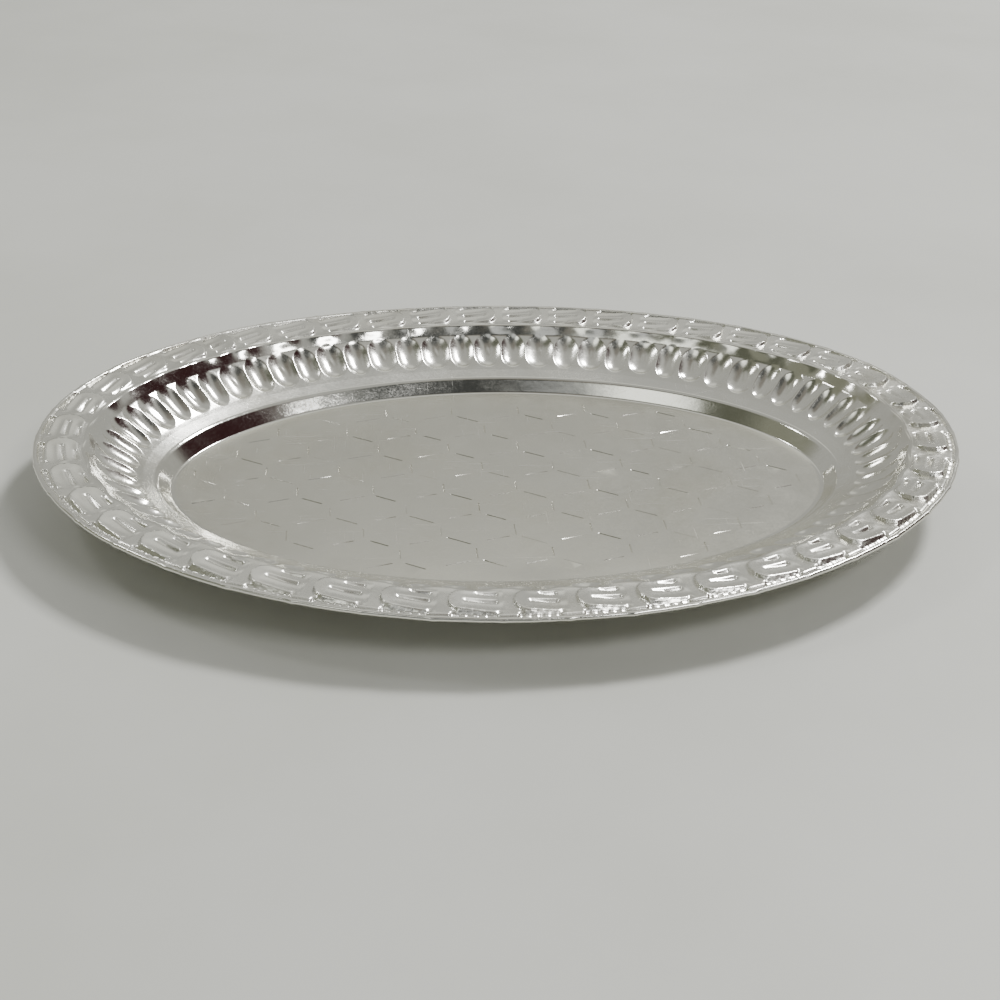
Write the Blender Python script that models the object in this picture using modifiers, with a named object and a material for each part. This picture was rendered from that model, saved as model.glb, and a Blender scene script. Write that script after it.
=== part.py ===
"""An oval offering plate, pressed from one thin sheet of metal.

From the middle outwards the sheet is a flat well floor, a steep step ring, a plain shoulder band, a fluted
wall, a steep cove, a flat flange embossed with shells, and an edge that is rolled under. Each of these zones
is its own object, parted from its neighbours along the lines where the press bends the sheet.

The rim isn't quite level: the press leaves it a little higher at the ends of the oval than along its sides.

The plate stands on Z = 0 with its long axis on X. An inset is a distance measured inwards from the outer edge,
square to it. A turn runs from 0 to 1 once round the edge, counter-clockwise seen from above.
"""

import math

import bmesh
import bpy
import numpy as np

MM = 0.001

# Driving dimensions, in millimetres.
LENGTH = 300.0
WIDTH = 206.0
SHEET = 0.5
GAP = 0.3

FLANGE_HEIGHT = 19.0
CURL_RADIUS = 1.0
CURL_DEGREES = 220.0

# Where the sheet changes slope: inset from the edge, and height of its upper face.
FLANGE_INNER = (15.9, 18.0)
COVE_FOOT = (18.7, 15.4)
WALL_FOOT = (31.0, 7.6)
SHOULDER_FOOT = (37.4, 4.7)
WELL_EDGE = (40.9, 0.5)

# How far the flange rises at the ends of the oval, and sinks along its sides.
RIM_SADDLE = 1.6

SHELL_COUNT = 44
SHELL_RISE = 0.9
SHELL_CENTRE = 9.2
SHELL_HALF_WIDTH = 6.0
SHELL_HEAD = 0.12
SHELL_TAIL_START = 0.55
SHELL_PHASE = 0.75

FLUTE_COUNT = 72
FLUTE_DEPTH = 0.9
FLUTE_PHASE = 1.0 / 3.0
WALL_SAG = 0.5

# Facets round the plate, for the plain zones.
AROUND = 108


def clear_scene():
    for obj in list(bpy.data.objects):
        bpy.data.objects.remove(obj)


def new_collection(name):
    collection = bpy.data.collections.new(name)
    bpy.context.scene.collection.children.link(collection)
    return collection


def sheet_metal(name, colour, roughness):
    """A bare metal; the zones differ in how far the tool has burnished them."""
    material = bpy.data.materials.new(name)
    material.use_nodes = True
    shader = material.node_tree.nodes["Principled BSDF"]
    shader.inputs["Base Color"].default_value = (*colour, 1.0)
    shader.inputs["Metallic"].default_value = 1.0
    shader.inputs["Roughness"].default_value = roughness
    material.diffuse_color = (*colour, 1.0)
    return material


def smoothstep(low, high, value):
    share = np.clip((value - low) / (high - low), 0.0, 1.0)
    return share * share * (3.0 - 2.0 * share)


def edge_stations(count):
    """Turns, points and inward normals at equal steps along the elliptical outer edge."""
    angles = np.linspace(0.0, 2.0 * math.pi, 7201)
    x = LENGTH / 2 * np.cos(angles)
    y = WIDTH / 2 * np.sin(angles)
    travelled = np.concatenate([[0.0], np.cumsum(np.hypot(np.diff(x), np.diff(y)))])
    turns = np.arange(count) / count
    at = np.interp(turns * travelled[-1], travelled, angles)
    points = np.stack([LENGTH / 2 * np.cos(at), WIDTH / 2 * np.sin(at)], axis=1)
    normals = -np.stack([WIDTH / 2 * np.cos(at), LENGTH / 2 * np.sin(at)], axis=1)
    normals /= np.linalg.norm(normals, axis=1)[:, None]
    return turns, points, normals


def between(start, end, inset):
    """Height at an inset on the straight line between two points of the section."""
    return start[1] + (end[1] - start[1]) * (inset - start[0]) / (end[0] - start[0])


def saddle(turn, inset):
    """The whole flange follows the saddle, and the walls take it up on the way down to the flat well."""
    share = (WELL_EDGE[0] - inset) / (WELL_EDGE[0] - FLANGE_INNER[0])
    return RIM_SADDLE * math.cos(4.0 * math.pi * turn) * min(max(share, 0.0), 1.0)


def flange_height(turn, inset):
    """Each shell has a round closed head at the start of its pitch, and slopes away to its tail."""
    along = (turn * SHELL_COUNT - SHELL_PHASE) % 1.0
    head = smoothstep(0.0, SHELL_HEAD, along)
    tail = 1.0 - smoothstep(SHELL_TAIL_START, 1.0, along)
    across = abs(inset - SHELL_CENTRE) / SHELL_HALF_WIDTH
    plain = between((CURL_RADIUS, FLANGE_HEIGHT), FLANGE_INNER, inset)
    return plain + SHELL_RISE * head * tail * (1.0 - smoothstep(0.7, 1.0, across))


def cove_height(turn, inset):
    return between(FLANGE_INNER, COVE_FOOT, inset)


def wall_height(turn, inset):
    """A slightly hollow slope, with flutes that fade out at both of its ends."""
    down = (inset - COVE_FOOT[0]) / (WALL_FOOT[0] - COVE_FOOT[0])
    fade = 4.0 * down * (1.0 - down)
    groove = 0.5 - 0.5 * math.cos(2.0 * math.pi * (turn * FLUTE_COUNT - FLUTE_PHASE))
    return between(COVE_FOOT, WALL_FOOT, inset) - fade * (WALL_SAG + FLUTE_DEPTH * groove)


def shoulder_height(turn, inset):
    return between(WALL_FOOT, SHOULDER_FOOT, inset)


def ring_height(turn, inset):
    return between(SHOULDER_FOOT, WELL_EDGE, inset)


def mesh_object(name, mesh, material, collection):
    mesh.shade_smooth()
    mesh.set_sharp_from_angle(angle=math.radians(50))
    mesh.materials.append(material)
    obj = bpy.data.objects.new(name, mesh)
    collection.objects.link(obj)
    return obj


def lofted_sheet(name, around, section, material, collection):
    """A closed ring of sheet. section(turn) gives its (inset, height) points from the edge inwards."""
    mesh = bpy.data.meshes.new(name)
    shape = bmesh.new()
    rows = []
    for turn, point, normal in zip(*edge_stations(around)):
        row = []
        for inset, height in section(turn):
            x, y = point + normal * inset
            z = height + saddle(turn, inset)
            row.append(shape.verts.new((x * MM, y * MM, z * MM)))
        rows.append(row)
    for row, following in zip(rows, rows[1:] + rows[:1]):
        for k in range(len(row) - 1):
            shape.faces.new((row[k], following[k], following[k + 1], row[k + 1]))
    shape.to_mesh(mesh)
    shape.free()
    obj = mesh_object(name, mesh, material, collection)
    solidify = obj.modifiers.new("thickness", "SOLIDIFY")
    solidify.thickness = SHEET * MM
    solidify.offset = -1.0
    return obj


def zone(name, around, start, end, steps, height, material, collection):
    """A band of the pressing between two insets, whose upper face follows height(turn, inset)."""
    insets = np.linspace(start, end, steps + 1)

    def section(turn):
        return [(inset, height(turn, inset)) for inset in insets]

    return lofted_sheet(name, around, section, material, collection)


def make_rolled_edge(collection):
    """The rim is curled outwards and under, open towards the flange's underside."""
    material = sheet_metal("rolled_edge_metal", (0.78, 0.78, 0.76), 0.22)

    def section(turn):
        points = []
        for bend in np.radians(np.linspace(CURL_DEGREES, 0.0, 6)):
            inset = CURL_RADIUS * (1.0 - math.sin(bend))
            points.append((inset, FLANGE_HEIGHT - CURL_RADIUS * (1.0 - math.cos(bend))))
        return points

    lofted_sheet("rolled_edge", AROUND, section, material, collection)


def make_shell_flange(collection):
    material = sheet_metal("shell_flange_metal", (0.72, 0.72, 0.69), 0.38)
    start = CURL_RADIUS + GAP
    end = FLANGE_INNER[0] - GAP
    zone("shell_flange", 4 * SHELL_COUNT, start, end, 5, flange_height, material, collection)


def make_rim_cove(collection):
    material = sheet_metal("rim_cove_metal", (0.74, 0.74, 0.71), 0.16)
    start = FLANGE_INNER[0] + GAP
    end = COVE_FOOT[0] - GAP / 2
    zone("rim_cove", AROUND, start, end, 2, cove_height, material, collection)


def make_fluted_wall(collection):
    material = sheet_metal("fluted_wall_metal", (0.73, 0.73, 0.70), 0.24)
    start = COVE_FOOT[0] + GAP
    end = WALL_FOOT[0] - GAP / 2
    zone("fluted_wall", 3 * FLUTE_COUNT, start, end, 4, wall_height, material, collection)


def make_shoulder_band(collection):
    material = sheet_metal("shoulder_band_metal", (0.72, 0.72, 0.69), 0.36)
    start = WALL_FOOT[0] + GAP
    end = SHOULDER_FOOT[0] - GAP / 2
    zone("shoulder_band", AROUND, start, end, 2, shoulder_height, material, collection)


def make_step_ring(collection):
    material = sheet_metal("step_ring_metal", (0.76, 0.76, 0.73), 0.12)
    start = SHOULDER_FOOT[0] + GAP
    end = WELL_EDGE[0] - GAP
    zone("step_ring", AROUND, start, end, 2, ring_height, material, collection)


def make_well_floor(collection):
    """A flat plate, filled from its outline."""
    outline = bpy.data.curves.new("well_floor", "CURVE")
    outline.dimensions = "2D"
    outline.fill_mode = "BOTH"
    outline.extrude = SHEET / 2 * MM
    spline = outline.splines.new("POLY")
    spline.points.add(AROUND - 1)
    _, points, normals = edge_stations(AROUND)
    for place, (x, y) in zip(spline.points, points + normals * WELL_EDGE[0]):
        place.co = (x * MM, y * MM, 0.0, 1.0)
    spline.use_cyclic_u = True
    outline.materials.append(sheet_metal("well_floor_metal", (0.70, 0.69, 0.65), 0.40))
    floor = bpy.data.objects.new("well_floor", outline)
    floor.location.z = SHEET / 2 * MM
    collection.objects.link(floor)


def main():
    clear_scene()
    plate = new_collection("offering_plate")
    make_rolled_edge(plate)
    make_shell_flange(plate)
    make_rim_cove(plate)
    make_fluted_wall(plate)
    make_shoulder_band(plate)
    make_step_ring(plate)
    make_well_floor(plate)


main()
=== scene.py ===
"""Looks of the pressed oval offering plate: one dense sheet-metal surface, cut into the frame's zones."""

import math

import bpy
import numpy as np
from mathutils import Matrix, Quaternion, Vector
from mathutils.geometry import delaunay_2d_cdt


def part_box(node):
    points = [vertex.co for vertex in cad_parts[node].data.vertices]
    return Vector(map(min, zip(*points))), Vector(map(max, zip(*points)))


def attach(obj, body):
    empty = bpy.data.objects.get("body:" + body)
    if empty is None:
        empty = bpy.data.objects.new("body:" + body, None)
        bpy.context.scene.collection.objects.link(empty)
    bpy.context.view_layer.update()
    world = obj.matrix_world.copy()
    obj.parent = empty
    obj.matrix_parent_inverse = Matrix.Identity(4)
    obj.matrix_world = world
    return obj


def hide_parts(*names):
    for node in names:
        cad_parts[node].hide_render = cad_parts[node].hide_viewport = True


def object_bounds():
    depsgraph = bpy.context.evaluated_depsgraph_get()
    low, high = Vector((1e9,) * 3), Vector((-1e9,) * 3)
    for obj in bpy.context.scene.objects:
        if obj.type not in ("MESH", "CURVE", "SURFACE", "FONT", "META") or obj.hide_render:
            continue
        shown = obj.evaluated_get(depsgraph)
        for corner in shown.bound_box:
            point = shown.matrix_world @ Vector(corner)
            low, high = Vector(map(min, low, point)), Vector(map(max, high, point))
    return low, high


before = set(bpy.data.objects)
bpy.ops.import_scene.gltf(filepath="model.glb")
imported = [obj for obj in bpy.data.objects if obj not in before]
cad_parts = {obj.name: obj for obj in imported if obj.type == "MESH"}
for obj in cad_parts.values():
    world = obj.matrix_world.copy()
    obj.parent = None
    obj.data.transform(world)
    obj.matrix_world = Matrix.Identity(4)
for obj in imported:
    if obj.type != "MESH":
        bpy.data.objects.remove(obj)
cad_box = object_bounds()

MM = 0.001

# The camera stands before the plate's long side, a little to the left, and looks down at it.
CAMERA_AZIMUTH = -6.09
CAMERA_ELEVATION = 31.52
CAMERA_ROLL = 1.95
CAMERA_DISTANCE = 495.2
CAMERA_TARGET = (-1.8, -12.7, 0.0)
CAMERA_FOCAL = 1.51  # in picture widths
SENSOR = 36.0

# Sizes are in millimetres. An inset is a distance inwards from the outer edge, square to it.
HALF_LENGTH = cad_box[1].x / MM
HALF_WIDTH = cad_box[1].y / MM
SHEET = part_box("well_floor")[1].z / MM

# Corners of the section: inset, height of the upper face, and fillet radius.
BEAD_RADIUS = 0.75
BEAD_ROOT = (1.5, 19.0, 0.0)
FLANGE_INNER = (15.9, 18.0, 0.9)
COVE_FOOT = (18.6, 14.9, 1.5)
WALL_FOOT = (31.0, 7.4, 6.0)
SHOULDER_FOOT = (37.2, 4.6, 0.7)
WELL_EDGE = (40.9, SHEET, 0.9)
FLOOR_START = (42.2, SHEET, 0.0)

# Insets where one zone ends and the next begins, all on straight stretches of the section.
BEAD_END = BEAD_ROOT[0]
FLANGE_END = 14.9
COVE_END = 19.9
WALL_END = 32.6
SHOULDER_END = 36.0
RING_END = FLOOR_START[0]

# The flange rises at the ends of the oval, and sinks along its sides.
RIM_SADDLE = 1.6

FILLET_STEP = 0.12
UNDERSIDE_BLUR = 0.35  # how much softer the relief is on the under face
BEAD_CURL = 235.0  # degrees
BEAD_POINTS = 22
BEAD_GAUGE = 0.8 * SHEET
BEAD_LEAD = 1.1  # inset of the last flat row before the curl

AROUND = 2376  # stations round the edge: 54 to a shell and 33 to a flute
EDGE_SAMPLES = 14401

SHELLS = 44
SHELL_PHASE = 0.69
SHELL_CENTRE = 8.9
SHELL_HALF_WIDTH = 5.3
SHELL_HEAD = 4.3
SHELL_SQUARENESS = 2.2  # of the head's outline: 2 would be an ellipse
SHELL_RISE = 1.3125
SHELL_FADE = (-6.0, 15.2)  # a shell slopes down between these places along it
FADE_AT_HEAD = 0.81  # share of the slope's height that is left where the head begins
SHELL_TAIL = 13.4
CROWN = 0.10
FINGER_GROOVES = ((8.8, 4.2, 0.60, 1.0), (12.9, 7.4, 0.50, 0.85))  # inset, start, reach across, depth
EDGE_CRINKLE = 0.06
TRENCH_DEPTH = 0.85
TRENCH_CRINKLE = 0.10
PIT_INSET = 3.7
PIT_DEPTH = 0.55
BEAD_CREASE_INSET = 1.85
BEAD_CREASE_DEPTH = 0.45
BEAD_SWELL = 0.22
BEAD_SWELL_ALONG = 14.6
INNER_REACH = 1.6  # how far the waves of the flange's inner edge are felt
INNER_WAVE = 0.38
INNER_LIFT = 0.22

FLUTE_PAIRS = 36
FLUTE_PHASE = 0.665
BROAD_SHARE = 0.535
FLUTE_DEPTH = 1.65
FLUTE_MIDDLE = 24.7
FLUTE_REACH = 6.4
BROAD_DEPTH = 1.06
NARROW_DEPTH = 0.94
STRIKE_INSET = 23.4
STRIKE_RISE = 0.16

LIP_HEIGHT = 0.10  # of the shoulder's rolled lip, above the step ring
LIP_INSET = SHOULDER_FOOT[0] - 0.7

# The dashes of the well floor: two steps of their lattice, then each dash's offset, vector and weight.
DASH_ORIGIN = np.array([-25.2, -58.3])
DASH_STEPS = np.array([[24.06, 0.30], [13.44, 13.46]])
DASHES = (
    ((0.0, 0.0), (0.05, -5.5), 1.0),
    ((7.3, 8.4), (7.7, 2.1), 0.9),
    ((18.6, 7.7), (7.0, -4.0), 1.0),
)
DASH_WIDTH = 0.54
DASH_DEPTH = 0.22
DASH_TAPER = 0.35
DASH_MARGIN = 45.5  # inset that every dash stays within
# Pairs of a dash's eight points that the floor's net has to join: its outline, then the line sunk along it.
DASH_EDGES = ((0, 1), (1, 2), (2, 3), (3, 4), (4, 5), (5, 0), (0, 6), (6, 7), (7, 3))
FLOOR_GRID = 3.7
FLOOR_SWELL = 0.075

# Colours of the metal where it is clean and where it is worn.
TIN = (0.85, 0.845, 0.79)
WORN_TIN = (0.73, 0.715, 0.64)
FLOOR_TIN = (0.77, 0.76, 0.69)
WORN_FLOOR = (0.70, 0.685, 0.60)
TABLE_PAINT = (0.59, 0.595, 0.555, 1.0)
WORN_PAINT = (0.54, 0.545, 0.50, 1.0)
TABLE_REACH = 12.0  # metres

# Zones between the bead and the floor: piece, first and last inset, rows of its upper and under face, then
# its metal (name, roughness, spread, grain, unevenness), node and slot.
ZONES = (
    ("shell_flange_sheet", BEAD_END, FLANGE_END, 32, 9,
     ("flange_metal", 0.27, 0.05, 5e-6, 3.0e-5), "shell_flange", "embossed_flange"),
    ("rim_cove_sheet", FLANGE_END, COVE_END, 20, 8,
     ("cove_metal", 0.15, 0.04, 4e-6, 6.0e-5), "rim_cove", "mirror_cove"),
    ("fluted_wall_sheet", COVE_END, WALL_END, 32, 9,
     ("wall_metal", 0.19, 0.05, 5e-6, 4.0e-5), "fluted_wall", "bright_flutes"),
    ("shoulder_band_sheet", WALL_END, SHOULDER_END, 6, 4,
     ("shoulder_metal", 0.23, 0.03, 5e-6, 2.5e-5), "shoulder_band", "satin_shoulder"),
    ("step_ring_sheet", SHOULDER_END, RING_END, 26, 8,
     ("ring_metal", 0.12, 0.04, 4e-6, 3.0e-5), "step_ring", "mirror_ring"),
)

# Soft patches of the studio round the plate: azimuth, elevation, inner and outer radius in degrees, colour.
# Each one covers those before it.
STUDIO_BASE = (0.46, 0.46, 0.435)
STUDIO_PATCHES = (
    (180, 80, 10, 45, (0.48, 0.48, 0.455)),
    (174, 47, 6, 17, (0.86, 0.86, 0.80)),
    (-85, 34, 20, 42, (0.24, 0.245, 0.19)),
    (0, 42, 16, 46, (0.10, 0.105, 0.10)),
    (0, 79, 5, 17, (0.22, 0.205, 0.18)),
    (18, 61, 7, 16, (0.05, 0.052, 0.05)),
    (91, 35, 17, 32, (0.036, 0.013, 0.014)),
    (-64, 59, 9, 19, (0.11, 0.115, 0.085)),
    (-35, 54, 4, 13, (1.9, 1.93, 1.8)),
    (-7, 50, 4, 13, (0.62, 0.63, 0.63)),
)
# Name, azimuth, elevation, distance and size in metres, and power in watts.
LAMPS = (
    ("key", 129, 51, 2.4, (0.42, 0.40), 56.0),
    ("lamp", -114, 50, 1.6, (0.22, 0.20), 2.6),
    ("window", 41, 48, 1.2, (0.46, 0.22), 4.6),
)

random = np.random.default_rng(7)


def smoothstep(low, high, value):
    share = np.clip((value - low) / (high - low), 0.0, 1.0)
    return share * share * (3.0 - 2.0 * share)


def bell(value, reach):
    return np.exp(-((value / reach) ** 2))


def direction(azimuth, elevation):
    """A unit vector. Azimuth 0 is the viewer's side (-Y), and 90 is the viewer's right (+X)."""
    azimuth, elevation = math.radians(azimuth), math.radians(elevation)
    level = math.cos(elevation)
    return Vector((math.sin(azimuth) * level, -math.cos(azimuth) * level, math.sin(elevation)))


def make_camera():
    back = direction(CAMERA_AZIMUTH, CAMERA_ELEVATION)
    data = bpy.data.cameras.new("camera")
    data.sensor_width = SENSOR
    data.lens = CAMERA_FOCAL * SENSOR
    data.clip_start = 0.01
    data.clip_end = 20.0
    camera = bpy.data.objects.new("camera", data)
    camera.location = (Vector(CAMERA_TARGET) + back * CAMERA_DISTANCE) * MM
    camera.rotation_mode = "QUATERNION"
    level = (-back).to_track_quat("-Z", "Y")
    camera.rotation_quaternion = level @ Quaternion((0.0, 0.0, 1.0), math.radians(CAMERA_ROLL))
    bpy.context.scene.collection.objects.link(camera)
    bpy.context.scene.camera = camera


def edge_stations(count):
    """Turns, points, inward normals and the perimeter, at equal steps along the elliptical outer edge."""
    angles = np.linspace(0.0, 2.0 * math.pi, EDGE_SAMPLES)
    x = HALF_LENGTH * np.cos(angles)
    y = HALF_WIDTH * np.sin(angles)
    travelled = np.concatenate([[0.0], np.cumsum(np.hypot(np.diff(x), np.diff(y)))])
    turns = np.arange(count) / count
    at = np.interp(turns * travelled[-1], travelled, angles)
    points = np.stack([HALF_LENGTH * np.cos(at), HALF_WIDTH * np.sin(at)], axis=1)
    normals = -np.stack([HALF_WIDTH * np.cos(at), HALF_LENGTH * np.sin(at)], axis=1)
    normals /= np.linalg.norm(normals, axis=1)[:, None]
    return turns, points, normals, travelled[-1]


TURNS, EDGE, INWARD, PERIMETER = edge_stations(AROUND)
SHELL_PITCH = PERIMETER / SHELLS


def filleted(corners, step):
    """Points of the section (inset, height) with each corner rounded to its radius."""
    points = [np.array(corners[0][:2])]
    for before, corner, after in zip(corners, corners[1:], corners[2:]):
        here = np.array(corner[:2])
        inward = here - np.array(before[:2])
        onward = np.array(after[:2]) - here
        inward /= np.linalg.norm(inward)
        onward /= np.linalg.norm(onward)
        turn = math.acos(np.clip(inward @ onward, -1.0, 1.0))
        reach = corner[2] * math.tan(turn / 2)
        count = max(3, int(turn * corner[2] / step) + 2)
        start, end = here - inward * reach, here + onward * reach
        for share in np.linspace(0.0, 1.0, count):
            # A quadratic curve through the two tangent points is within a hair of the arc.
            rest = 1 - share
            points.append(rest**2 * start + 2 * share * rest * here + share**2 * end)
    points.append(np.array(corners[-1][:2]))
    return np.array(points)


SECTION = filleted(
    [BEAD_ROOT, FLANGE_INNER, COVE_FOOT, WALL_FOOT, SHOULDER_FOOT, WELL_EDGE, FLOOR_START],
    FILLET_STEP,
)


def rows_between(start, end, count):
    """count points of the section from one inset to another, evenly spaced along the sheet."""
    inside = (SECTION[:, 0] > start) & (SECTION[:, 0] < end)
    ends = [np.interp(inset, SECTION[:, 0], SECTION[:, 1]) for inset in (start, end)]
    line = np.vstack([[start, ends[0]], SECTION[inside], [end, ends[1]]])
    travelled = np.concatenate([[0.0], np.cumsum(np.linalg.norm(np.diff(line, axis=0), axis=1))])
    at = np.linspace(0.0, travelled[-1], count)
    return np.stack([np.interp(at, travelled, line[:, k]) for k in (0, 1)], axis=1)


def wander(turn, count, size):
    """A smooth random line round the plate, with count bends and about the given size."""
    knots = random.normal(0.0, size, count)
    at = turn * count
    low = np.floor(at).astype(int)
    share = smoothstep(0.0, 1.0, at - low)
    return knots[low % count] * (1.0 - share) + knots[(low + 1) % count] * share


# The ends of the embossed border meet towards the left, where a shell is short. Past it the shells are
# nearly half a pitch out of step, and they fall back into step along the front.
JOIN = smoothstep(0.365, 0.395, TURNS) * (1.0 - smoothstep(0.57, 0.76, TURNS))
SHELL_AT = TURNS * SHELLS - SHELL_PHASE + 0.45 * JOIN
SHELL_NUMBER = np.floor(SHELL_AT).astype(int) % SHELLS
ALONG = (SHELL_AT % 1.0) * SHELL_PITCH
SHELL_HEIGHTS = random.uniform(0.88, 1.12, SHELLS)
SHELL_TWISTS = random.uniform(-0.25, 0.25, SHELLS)
SHELL_TAILS = random.uniform(-0.5, 0.5, SHELLS)
CRINKLE_TURNS = random.uniform(0.0, 2.0 * math.pi, SHELLS)
EDGE_WANDER = wander(TURNS, 60, 0.10) + wander(TURNS, 190, 0.05)
LEVEL_WANDER = wander(TURNS, 38, 0.10)

FLUTE_AT = TURNS * FLUTE_PAIRS - FLUTE_PHASE + wander(TURNS, 30, 0.02)
FLUTE_HEIGHTS = random.uniform(0.88, 1.12, 2 * FLUTE_PAIRS)
FLUTE_SHIFTS = random.uniform(-0.45, 0.45, 2 * FLUTE_PAIRS)


def shell_relief(inset, soft):
    """Height of the embossed shells above the plain flange.

    Along one pitch, a shell starts with a round raised head and slopes down to its tail, where the next head
    begins. Two grooves part its top into three fingers, and a trench runs outside it, along the bead.
    """
    along = ALONG[:, None]
    number = SHELL_NUMBER[:, None]
    twist = SHELL_TWISTS[number]
    tail = SHELL_TAIL + SHELL_TAILS[number]
    phase = CRINKLE_TURNS[number]
    crinkle = np.sin(along * 2.3 + phase) + 0.5 * np.sin(along * 5.9 + 2.0 * phase)
    lag = np.clip((SHELL_HEAD - along) / SHELL_HEAD, 0.0, 1.0)
    width = SHELL_HALF_WIDTH * np.maximum(1.0 - lag**SHELL_SQUARENESS, 0.0) ** (1.0 / SHELL_SQUARENESS)
    centre = SHELL_CENTRE + twist
    side = width - np.abs(inset - centre) + np.where(inset < centre, EDGE_CRINKLE * crinkle, 0.0)
    inside = smoothstep(-0.30 - soft, 0.50 + soft, side)
    ramp = (1.0 - smoothstep(*SHELL_FADE, along)) / FADE_AT_HEAD
    relief = inside * ramp * SHELL_RISE * SHELL_HEIGHTS[number]
    # A faint crown keeps each finger from reading as flat.
    crown = CROWN * inside * np.cos((inset - centre) * 1.15)
    relief = relief + crown * smoothstep(2.0, 6.0, along) * (along < SHELL_FADE[1])
    for at, start, wide, deep in FINGER_GROOVES:
        across = bell(inset - at - twist, wide + soft)
        run = smoothstep(start - 0.5, start + 0.5, along) * (1.0 - smoothstep(tail - 0.5, tail + 0.25, along))
        relief = relief - deep * across * run * (0.5 + 0.5 * smoothstep(start, tail, along))
    across = smoothstep(1.2, 2.2 + soft, inset) * (1.0 - smoothstep(2.9 - soft, 3.7 + soft, inset))
    run = smoothstep(0.5, 1.5, along) * (1.0 - smoothstep(tail - 0.7, tail, along))
    relief = relief - (TRENCH_DEPTH + TRENCH_CRINKLE * crinkle) * across * run
    # The trench hooks inwards to a small pit at the shell's tail.
    pit = bell(inset - PIT_INSET, 0.55) * bell(along - tail - 0.2, 0.6)
    relief = relief - PIT_DEPTH * pit
    # A narrow crease parts the flange from the bead.
    return relief - BEAD_CREASE_DEPTH * bell(inset - BEAD_CREASE_INSET, 0.28 + soft)


def flute_relief(inset):
    """Relief of the scoops in the wall: broad and narrow by turns, round at both ends, with sharp ridges."""
    pair = np.floor(FLUTE_AT).astype(int) % FLUTE_PAIRS
    within = (FLUTE_AT % 1.0)[:, None]
    broad = within < BROAD_SHARE
    number = 2 * pair[:, None] + np.where(broad, 0, 1)
    share = np.where(broad, within / BROAD_SHARE, (within - BROAD_SHARE) / (1.0 - BROAD_SHARE))
    across = share * 2.0 - 1.0
    middle = FLUTE_MIDDLE + FLUTE_SHIFTS[number] * 0.5
    down = (inset - middle) / FLUTE_REACH
    room = np.maximum(1.0 - np.abs(down) ** 2.8 - across**2, 0.0)
    depth = FLUTE_DEPTH * FLUTE_HEIGHTS[number] * np.where(broad, BROAD_DEPTH, NARROW_DEPTH)
    scoop = -depth * room**1.05
    # The broad ones keep a short crease where the tool first struck.
    crease = bell(across + 0.10 + 0.25 * down, 0.13) * bell(inset - STRIKE_INSET, 1.7)
    return scoop + np.where(broad, STRIKE_RISE, 0.0) * crease


def saddle(inset):
    """Height that the rim gains at the oval's ends and loses along its sides, down to none at the well."""
    share = np.clip((WELL_EDGE[0] - inset) / (WELL_EDGE[0] - FLANGE_INNER[0]), 0.0, 1.0)
    return (RIM_SADDLE * np.cos(4.0 * math.pi * TURNS) + LEVEL_WANDER)[:, None] * share


def surface(rows, soft=0.0):
    """Points of the upper face, in millimetres, as an array of stations by rows."""
    inset = np.broadcast_to(rows[None, :, 0], (AROUND, len(rows)))
    # The flange's inner edge waves in and out, once to a shell.
    near_inner = bell(inset - FLANGE_INNER[0], INNER_REACH)
    wave = np.sin(2.0 * math.pi * (ALONG / SHELL_PITCH - 0.62))[:, None]
    shift = INNER_WAVE * near_inner * (wave + 0.5 * SHELL_TWISTS[SHELL_NUMBER][:, None])
    shift = shift - EDGE_WANDER[:, None] * (1.0 - smoothstep(2.0, 12.0, inset))
    # The bead swells a little beside each shell's tail.
    bump = bell(ALONG - BEAD_SWELL_ALONG, 1.3)[:, None]
    shift = shift - BEAD_SWELL * bump * (1.0 - smoothstep(1.0, 2.6, inset))
    points = np.empty((AROUND, len(rows), 3))
    points[:, :, :2] = EDGE[:, None, :] + INWARD[:, None, :] * (inset + shift)[:, :, None]
    height = rows[None, :, 1] + saddle(inset)
    on_flange = 1.0 - smoothstep(14.2, 15.6, inset)
    height = height + on_flange * shell_relief(inset, soft)
    height = height + INNER_LIFT * near_inner * smoothstep(-1.0, 1.0, wave)
    height = height + np.where(inset > FLANGE_INNER[0] + 1.0, flute_relief(inset), 0.0)
    # The shoulder ends in a low rolled lip above the step ring.
    height = height + LIP_HEIGHT * bell(inset - LIP_INSET, 0.35)
    points[:, :, 2] = height
    return points


def grid_normals(points):
    """Upward unit normals of a grid that closes on itself along its first axis."""
    around = np.roll(points, -1, axis=0) - np.roll(points, 1, axis=0)
    inwards = np.gradient(points, axis=1)
    normals = np.cross(around, inwards)
    return normals / np.linalg.norm(normals, axis=2)[:, :, None]


def smoothed(mesh, sharp_degrees):
    mesh.validate()
    mesh.shade_smooth()
    mesh.set_sharp_from_angle(angle=math.radians(sharp_degrees))
    return mesh


def ring_mesh(name, loops):
    """A closed body from a grid of stations by points, where both axes close on themselves."""
    stations, points = loops.shape[:2]
    index = np.arange(stations * points).reshape(stations, points)
    onward = np.roll(index, -1, axis=0)
    across = np.roll(index, -1, axis=1)
    corner = np.roll(onward, -1, axis=1)
    faces = np.stack([index, onward, corner, across], axis=2).reshape(-1, 4)
    mesh = bpy.data.meshes.new(name)
    mesh.vertices.add(stations * points)
    mesh.vertices.foreach_set("co", (loops.reshape(-1, 3) * MM).astype(np.float32).ravel())
    mesh.loops.add(len(faces) * 4)
    mesh.loops.foreach_set("vertex_index", faces.ravel().astype(np.int32))
    mesh.polygons.add(len(faces))
    mesh.polygons.foreach_set("loop_start", np.arange(0, len(faces) * 4, 4, dtype=np.int32))
    mesh.update(calc_edges=True)
    return smoothed(mesh, 60)


def add_piece(name, mesh, material, node):
    mesh.materials.append(material)
    piece = bpy.data.objects.new(name, mesh)
    bpy.context.scene.collection.objects.link(piece)
    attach(piece, "root")
    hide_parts(node)


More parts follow.
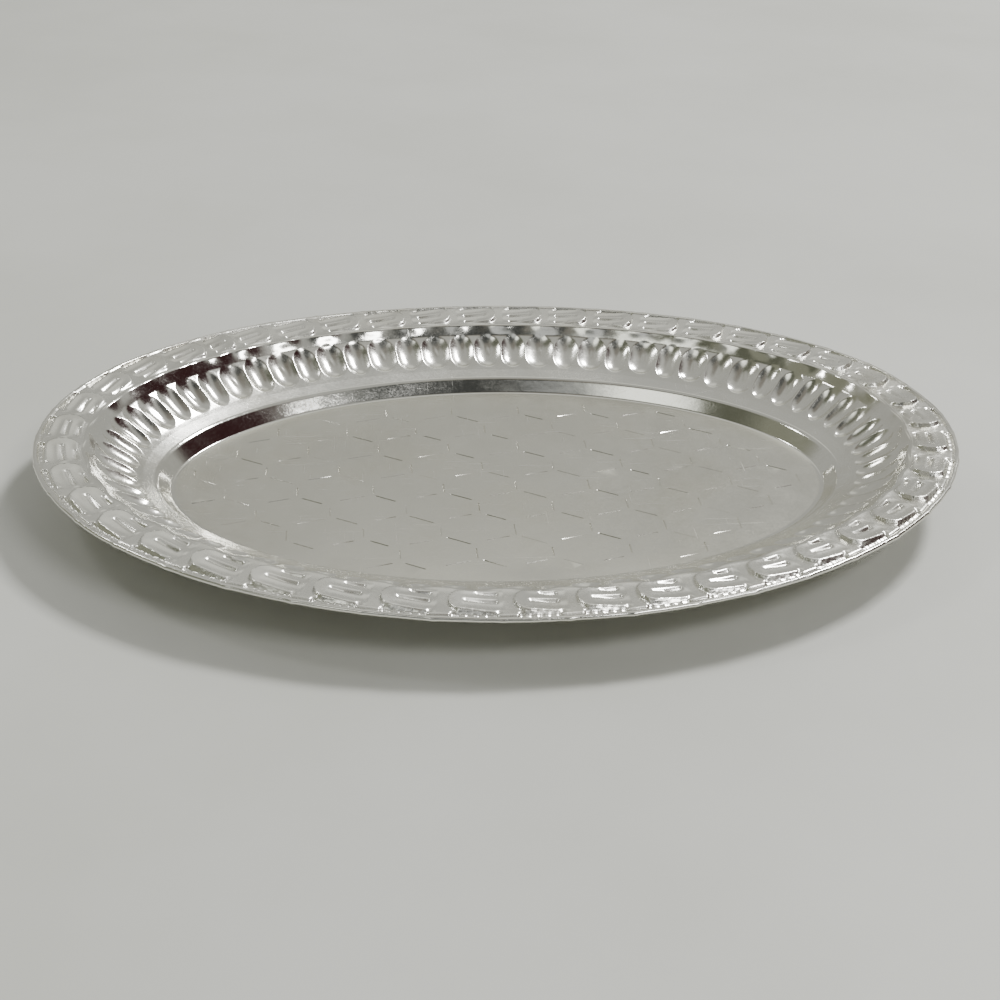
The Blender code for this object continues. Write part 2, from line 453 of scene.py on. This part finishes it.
def zone_piece(name, start, end, above, below, material, node):
    """One zone of the pressing: its upper face, its under face one sheet lower, and its two cut ends."""
    top = surface(rows_between(start, end, above))
    under_rows = surface(rows_between(start, end, below), soft=UNDERSIDE_BLUR)
    under = under_rows - grid_normals(under_rows) * SHEET
    loops = np.concatenate([top, under[:, ::-1]], axis=1)
    add_piece(name, ring_mesh(name, loops), material, node)


def bead_piece(material):
    """The edge, curled outwards and under to an open bead."""
    bends = np.radians(np.linspace(0.0, BEAD_CURL, BEAD_POINTS))
    inset = BEAD_RADIUS * (1.0 - np.sin(bends))
    height = BEAD_ROOT[1] - BEAD_RADIUS * (1.0 - np.cos(bends))
    outside = np.stack([inset, height], axis=1)
    middle = np.array([BEAD_RADIUS, BEAD_ROOT[1] - BEAD_RADIUS])
    inside = middle + (outside - middle) * (1.0 - BEAD_GAUGE / BEAD_RADIUS)
    lead = np.array([[BEAD_END, BEAD_ROOT[1]], [BEAD_LEAD, BEAD_ROOT[1]]])
    under_lead = lead - [0.0, BEAD_GAUGE]
    section = np.vstack([inside[::-2], under_lead[::-1], lead, outside])[::-1]
    mesh = ring_mesh("edge_bead", surface(section))
    add_piece("edge_bead", mesh, material, "rolled_edge")


def oval_share(points, inset):
    """Distance from the plate's centre, as a share of the oval at this inset, for one point or for many."""
    across = np.array([HALF_LENGTH - inset, HALF_WIDTH - inset])
    shares = np.asarray(points) / across
    return np.hypot(shares[..., 0], shares[..., 1])


def floor_dashes():
    """Both ends and the weight of each dash that lies wholly on the floor."""
    found = []
    for column in range(-14, 14):
        for row in range(-1, 10):
            corner = DASH_ORIGIN + DASH_STEPS[0] * column + DASH_STEPS[1] * row
            for offset, vector, full_weight in DASHES:
                middle = corner + offset + random.normal(0.0, 0.25, 2)
                half = np.array(vector) * random.uniform(0.42, 0.56)
                weight = full_weight * random.choice([1.0, 0.75, 0.45], p=[0.55, 0.3, 0.15])
                start, end = middle - half, middle + half
                if max(oval_share(start, DASH_MARGIN), oval_share(end, DASH_MARGIN)) < 1.0:
                    found.append((start, end, weight))
    return found


def dash_points(start, end, weight):
    """Points and heights of one dash: six round its outline, then the two ends of the line sunk along it."""
    along = end - start
    unit = along / np.linalg.norm(along)
    aside = np.array([-unit[1], unit[0]]) * DASH_WIDTH * (0.6 + 0.4 * weight) / 2
    near, far = start + unit * DASH_TAPER, end - unit * DASH_TAPER
    outline = [start, near + aside, far + aside, end, far - aside, near - aside]
    return outline + [near, far], [SHEET] * 6 + [SHEET - DASH_DEPTH * weight] * 2


def floor_net():
    """The upper face of the floor: its points, their heights, and triangles that all face upwards."""
    rim = surface(np.array([[RING_END, SHEET]]))[::2, 0, :2]
    count = len(rim)
    points = [Vector(p) for p in rim]
    heights = [SHEET] * count
    edges = [(k, (k + 1) % count) for k in range(count)]
    for dash in floor_dashes():
        places, levels = dash_points(*dash)
        edges += [(len(points) + a, len(points) + b) for a, b in DASH_EDGES]
        points += [Vector(place) for place in places]
        heights += levels
    known = len(points)
    for x in np.arange(-HALF_LENGTH, HALF_LENGTH, FLOOR_GRID):
        for y in np.arange(-HALF_WIDTH, HALF_WIDTH, FLOOR_GRID):
            if oval_share((x, y), RING_END + 2) < 1.0:
                points.append(Vector((x + random.uniform(-1, 1), y + random.uniform(-1, 1))))
    flat, _, faces, origins, _, _ = delaunay_2d_cdt(points, edges, [], 1, 1e-5)
    flat = np.array([tuple(p) for p in flat])
    level = np.array([heights[source[0]] if source and source[0] < known else SHEET for source in origins])
    # The floor swells and sinks a little, but not at its edge.
    x, y = flat[:, 0], flat[:, 1]
    fade = 1.0 - smoothstep(0.86, 0.99, oval_share(flat, RING_END))
    swell = np.sin(x / 9.5 + 0.6) * np.cos(y / 17.0 + 0.3) + 0.7 * np.sin(x / 17.0 - y / 23.0 + 2.0)
    level = level + FLOOR_SWELL * fade * swell
    upward = []
    for a, b, c in faces:
        onward, across = flat[b] - flat[a], flat[c] - flat[a]
        area = onward[0] * across[1] - onward[1] * across[0]
        upward.append((a, b, c) if area > 0 else (a, c, b))
    return flat, level, upward


def floor_piece(material):
    """The flat of the well, with the dashes sunk into its upper face as shallow creases."""
    flat, level, upward = floor_net()
    top = np.column_stack([flat, level])
    # The under face is the same net turned over, one sheet lower but never below the table top.
    bottom = np.column_stack([flat, np.maximum(level - SHEET, 0.0)])
    size = len(flat)
    downward = [(a + size, c + size, b + size) for a, b, c in upward]
    sides = dict.fromkeys(side for a, b, c in upward for side in ((a, b), (b, c), (c, a)))
    walls = [(b, a, a + size, b + size) for a, b in sides if (b, a) not in sides]
    mesh = bpy.data.meshes.new("well_floor_sheet")
    mesh.from_pydata([tuple(v) for v in np.vstack([top, bottom]) * MM], [], upward + downward + walls)
    add_piece("well_floor_sheet", smoothed(mesh, 20), material, "well_floor")


class Shader:
    """A Principled material under construction, in the object's own coordinates."""

    def __init__(self, name):
        self.material = bpy.data.materials.new(name)
        self.material.use_nodes = True
        self.tree = self.material.node_tree
        self.principled = self.tree.nodes["Principled BSDF"]
        self.coordinates = self.tree.nodes.new("ShaderNodeTexCoord").outputs["Object"]

    def put(self, socket, value):
        if isinstance(value, bpy.types.NodeSocket):
            self.tree.links.new(value, socket)
        else:
            socket.default_value = value

    def add(self, kind, inputs, **settings):
        node = self.tree.nodes.new(kind)
        for key, value in settings.items():
            setattr(node, key, value)
        for key, value in inputs.items():
            self.put(node.inputs[key], value)
        return node

    def noise(self, scale, detail, roughness, stretch=None, turn=0.0):
        vector = self.coordinates
        if stretch:
            inputs = {"Vector": vector, "Rotation": (0, 0, turn), "Scale": stretch}
            vector = self.add("ShaderNodeMapping", inputs).outputs["Vector"]
        inputs = {"Vector": vector, "Scale": scale, "Detail": detail, "Roughness": roughness}
        return self.add("ShaderNodeTexNoise", inputs).outputs["Fac"]

    def span(self, value, low, high, to_low, to_high):
        inputs = {"Value": value, "From Min": low, "From Max": high, "To Min": to_low, "To Max": to_high}
        return self.add("ShaderNodeMapRange", inputs, interpolation_type="SMOOTHSTEP").outputs["Result"]

    def sum(self, first, second):
        return self.add("ShaderNodeMath", {0: first, 1: second}, operation="ADD").outputs[0]

    def mix(self, share, first, second):
        # A mix of colours takes its share at input 0 and its two colours at 6 and 7.
        return self.add("ShaderNodeMix", {0: share, 6: first, 7: second}, data_type="RGBA").outputs[2]

    def bump(self, height, distance, under=None):
        inputs = {"Height": height, "Strength": 1.0, "Distance": distance}
        if under:
            inputs["Normal"] = under
        return self.add("ShaderNodeBump", inputs).outputs[0]


def sheet_metal(name, roughness, spread, grain, unevenness, colour=TIN, dull=WORN_TIN, scratches=0.5):
    """Tinned sheet steel. The zones differ in how far the tool burnished them, so in roughness and in grain.

    The spread is how far smudges change the roughness. Grain and unevenness are depths in metres.
    """
    shader = Shader(name)
    bright, tarnished = (*colour, 1.0), (*dull, 1.0)
    stains = shader.span(shader.noise(24.0, 5.0, 0.62), 0.45, 0.72, 0.0, 1.0)
    smudges = shader.span(shader.noise(46.0, 4.0, 0.6), 0.35, 0.70, -spread, spread)
    fine = shader.noise(1500.0, 2.0, 0.5)
    long_marks = shader.noise(1.0, 2.0, 0.5, stretch=(40.0, 1900.0, 60.0), turn=0.45)
    cross_marks = shader.noise(1.0, 2.0, 0.5, stretch=(1700.0, 55.0, 60.0), turn=-0.3)
    marks = shader.sum(
        shader.span(long_marks, 0.66, 0.74, 0.0, scratches),
        shader.span(cross_marks, 0.68, 0.76, 0.0, scratches),
    )
    tint = shader.mix(stains, bright, tarnished)
    tint = shader.mix(shader.span(fine, 0.3, 0.75, 0.0, 0.35), tint, tarnished)
    rough = shader.sum(shader.span(fine, 0.25, 0.75, roughness - 0.03, roughness + 0.04), smudges)
    rough = shader.sum(rough, shader.span(marks, 0.0, 1.0, 0.0, 0.12))
    rough = shader.add("ShaderNodeClamp", {"Value": rough, "Min": 0.04, "Max": 0.6}).outputs[0]
    normal = shader.bump(shader.noise(230.0, 2.0, 0.45), unevenness)
    normal = shader.bump(shader.noise(1100.0, 3.0, 0.6), grain, normal)
    normal = shader.bump(marks, -grain * 1.5, normal)
    sockets = shader.principled.inputs
    sockets["Metallic"].default_value = 1.0
    shader.put(sockets["Base Color"], tint)
    shader.put(sockets["Roughness"], rough)
    shader.put(sockets["Normal"], normal)
    return shader.material


def make_plate():
    bead_piece(sheet_metal("bead_metal", 0.20, 0.05, 4e-6, 2.0e-5))
    for name, start, end, above, below, metal, node, slot in ZONES:
        zone_piece(name, start, end, above, below, sheet_metal(*metal), node)
    floor_piece(sheet_metal("floor_metal", 0.215, 0.02, 6e-6, 1.2e-5, FLOOR_TIN, WORN_FLOOR, 0.7))


def make_table():
    """A pale table top, with the faint marks and unevenness of old paint."""
    mesh = bpy.data.meshes.new("table_top")
    corners = [(x * TABLE_REACH, y * TABLE_REACH, 0) for x, y in ((-1, -1), (1, -1), (1, 1), (-1, 1))]
    mesh.from_pydata(corners, [], [(0, 1, 2, 3)])
    shader = Shader("table_paint")
    blotches = shader.span(shader.noise(5.0, 5.0, 0.6), 0.35, 0.7, 0.0, 1.0)
    sockets = shader.principled.inputs
    sockets["Roughness"].default_value = 0.55
    shader.put(sockets["Base Color"], shader.mix(blotches, TABLE_PAINT, WORN_PAINT))
    shader.put(sockets["Normal"], shader.bump(shader.noise(300.0, 4.0, 0.6), 4e-5))
    mesh.materials.append(shader.material)
    table = bpy.data.objects.new("table_top", mesh)
    bpy.context.scene.collection.objects.link(table)


def area_light(name, azimuth, elevation, distance, size, power):
    towards = direction(azimuth, elevation)
    data = bpy.data.lights.new(name, "AREA")
    data.shape = "RECTANGLE"
    data.size, data.size_y = size
    data.energy = power
    light = bpy.data.objects.new(name, data)
    light.location = towards * distance
    light.rotation_mode = "QUATERNION"
    light.rotation_quaternion = (-towards).to_track_quat("-Z", "Y")
    bpy.context.scene.collection.objects.link(light)


def make_studio():
    world = bpy.data.worlds.new("studio")
    bpy.context.scene.world = world
    world.use_nodes = True
    tree = world.node_tree
    look = tree.nodes.new("ShaderNodeTexCoord").outputs["Generated"]
    colour = None
    for azimuth, elevation, inner, outer, patch in STUDIO_PATCHES:
        dot = tree.nodes.new("ShaderNodeVectorMath")
        dot.operation = "DOT_PRODUCT"
        tree.links.new(look, dot.inputs[0])
        dot.inputs[1].default_value = direction(azimuth, elevation)
        share = tree.nodes.new("ShaderNodeMapRange")
        share.interpolation_type = "SMOOTHSTEP"
        tree.links.new(dot.outputs["Value"], share.inputs["Value"])
        share.inputs["From Min"].default_value = math.cos(math.radians(outer))
        share.inputs["From Max"].default_value = math.cos(math.radians(inner))
        mix = tree.nodes.new("ShaderNodeMix")
        mix.data_type = "RGBA"
        tree.links.new(share.outputs["Result"], mix.inputs[0])
        if colour is None:
            mix.inputs[6].default_value = (*STUDIO_BASE, 1.0)
        else:
            tree.links.new(colour, mix.inputs[6])
        mix.inputs[7].default_value = (*patch, 1.0)
        colour = mix.outputs[2]
    tree.links.new(colour, tree.nodes["Background"].inputs["Color"])
    for lamp in LAMPS:
        area_light(*lamp)


make_camera()
make_plate()
make_table()
make_studio()
